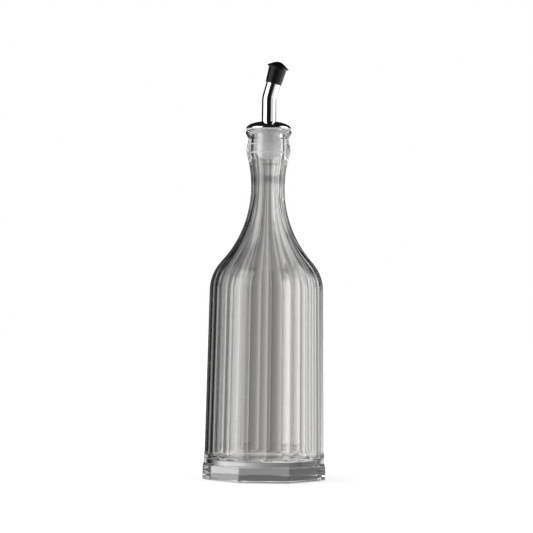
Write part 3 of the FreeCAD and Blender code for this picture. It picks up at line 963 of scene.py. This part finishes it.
class StudioSettings(bpy.types.PropertyGroup):
    """Camera place and light of the studio."""

    camera_height: size("Camera height", "Above the table", 152.1)
    camera_distance: size("Camera distance", "From the bottle's axis", 1600.0)
    camera_roll: angle("Camera roll", "Small lean of the camera", 0.8)
    soft_light: factor("Soft light", "Brightness of the light on matt surfaces", 1.0, 4.0)


# focal length in millimetres, and how far the camera stands aside
CAMERA_LENS = 150.0
CAMERA_ASIDE = -0.2 * MM
# floor: radius in metres, and steps round it
FLOOR_RADIUS = 3.0
FLOOR_STEPS = 64
# soft edges of the lamps, in degrees: at their sides, and at top and bottom
LAMP_EDGE = 6.0
LAMP_TOP_EDGE = 10.0
# dimmer band of the backdrop: bottom, top and soft edge in degrees, and its share
DIM_BAND = (4.5, 10.0, 2.0)
BACKDROP_DIM = 0.5
# compass degrees and brightness of the backdrop seen through clear material
SEEN_THROUGH = [
    (-180.0, 0.28), (-175.0, 0.21), (-168.0, 0.12), (-160.0, 0.03), (-136.0, 0.0), (-126.0, 0.45),
    (-105.0, 0.3), (-90.0, 0.0), (-40.0, 0.0), (-34.0, 0.8), (-4.0, 0.8), (2.0, 0.15), (30.0, 0.15),
    (40.0, 0.0), (104.0, 0.0), (112.0, 0.9), (122.0, 0.9), (132.0, 0.02), (142.0, 0.02), (150.0, 0.35),
    (158.0, 0.7), (170.0, 0.62), (176.0, 0.4), (180.0, 0.28),
]
# the same for what is mirrored: almost black, so that only the lamps show
MIRRORED = [(-180.0, 0.01), (180.0, 0.01)]
# the same for the light on matt surfaces
SOFT_LIGHT = [
    (-180.0, 0.8), (-90.0, 2.0), (-30.0, 0.9), (0.0, 0.7), (40.0, 0.8), (90.0, 1.4), (180.0, 0.8),
]
# lamps, then light from overhead and from the table, all in degrees but the last:
# left and right compass edges, bottom, top, brightness. Some are brighter than white.
LAMPS_THROUGH = [
    (-86.0, -45.0, -30.0, 50.0, 4.5), (35.0, 108.0, -30.0, 45.0, 1.8),
    (-190.0, 190.0, 55.0, 100.0, 0.8), (-190.0, 190.0, -100.0, -25.0, 0.2),
]
LAMPS_MIRRORED = [
    (-98.0, -38.0, -60.0, 50.0, 2.2), (76.0, 125.0, -60.0, 50.0, 2.2), (32.0, 76.0, -60.0, 12.0, 0.85),
    (128.0, 178.0, -60.0, -3.0, 1.6), (-190.0, 190.0, -100.0, -10.0, 0.45),
]


# ---- operators ----
class OILBOTTLE_OT_bottle(bpy.types.Operator):
    """Make the clear bottle on its foot"""

    bl_idname = "oilbottle.bottle"
    bl_label = "Clear bottle"

    def execute(self, context):
        scene = context.scene
        make_bottle(scene.oilbottle_sizes, scene.oilbottle_colours)
        return {"FINISHED"}


class OILBOTTLE_OT_stopper(bpy.types.Operator):
    """Make the ribbed stopper"""

    bl_idname = "oilbottle.stopper"
    bl_label = "Ribbed stopper"

    def execute(self, context):
        scene = context.scene
        make_stopper(scene.oilbottle_sizes, scene.oilbottle_pourer, scene.oilbottle_colours)
        return {"FINISHED"}


class OILBOTTLE_OT_metal(bpy.types.Operator):
    """Make the metal disc and the bent tube"""

    bl_idname = "oilbottle.metal"
    bl_label = "Disc and tube"

    def execute(self, context):
        scene = context.scene
        steel = polished_stainless_steel(scene.oilbottle_colours)
        make_disc(scene.oilbottle_sizes, scene.oilbottle_pourer, steel)
        make_tube(scene.oilbottle_sizes, scene.oilbottle_pourer, steel)
        return {"FINISHED"}


class OILBOTTLE_OT_cap(bpy.types.Operator):
    """Make the black cap on the tube's end"""

    bl_idname = "oilbottle.cap"
    bl_label = "Cap"

    def execute(self, context):
        scene = context.scene
        make_cap(scene.oilbottle_sizes, scene.oilbottle_pourer, scene.oilbottle_colours)
        return {"FINISHED"}


class OILBOTTLE_OT_studio(bpy.types.Operator):
    """Make the floor, the light and the camera"""

    bl_idname = "oilbottle.studio"
    bl_label = "Studio"

    def execute(self, context):
        scene = context.scene
        make_world(scene.oilbottle_studio)
        make_floor(scene.oilbottle_colours)
        make_camera(scene.oilbottle_studio)
        scene.view_settings.view_transform = "Standard"
        return {"FINISHED"}


class OILBOTTLE_PT_panel(bpy.types.Panel):
    """Lists the sizes, the colours and the operators"""

    bl_idname = "OILBOTTLE_PT_panel"
    bl_label = "Oil bottle"
    bl_space_type = "VIEW_3D"
    bl_region_type = "UI"
    bl_category = "Oil bottle"

    def draw(self, context):
        layout = self.layout
        for group in SETTINGS:
            box = layout.box()
            values = getattr(context.scene, group)
            for key in values.__annotations__:
                box.prop(values, key)
        for operator in OPERATORS:
            layout.operator(operator.bl_idname)


SETTINGS = {
    "oilbottle_sizes": BottleSizes,
    "oilbottle_pourer": PourerSizes,
    "oilbottle_colours": FinishColours,
    "oilbottle_studio": StudioSettings,
}
OPERATORS = (
    OILBOTTLE_OT_bottle,
    OILBOTTLE_OT_stopper,
    OILBOTTLE_OT_metal,
    OILBOTTLE_OT_cap,
    OILBOTTLE_OT_studio,
)


def register():
    """Adds the classes and hangs the settings on the scene."""
    for group in (*SETTINGS.values(), *OPERATORS, OILBOTTLE_PT_panel):
        bpy.utils.register_class(group)
    for name, group in SETTINGS.items():
        setattr(bpy.types.Scene, name, bpy.props.PointerProperty(type=group))


def unregister():
    """Takes away what register added."""
    for name in SETTINGS:
        delattr(bpy.types.Scene, name)
    for group in reversed((*SETTINGS.values(), *OPERATORS, OILBOTTLE_PT_panel)):
        bpy.utils.unregister_class(group)


def main():
    """Makes every piece and the studio."""
    register()
    bpy.ops.oilbottle.bottle()
    bpy.ops.oilbottle.stopper()
    bpy.ops.oilbottle.metal()
    bpy.ops.oilbottle.cap()
    bpy.ops.oilbottle.studio()


if __name__ == "__main__":
    main()
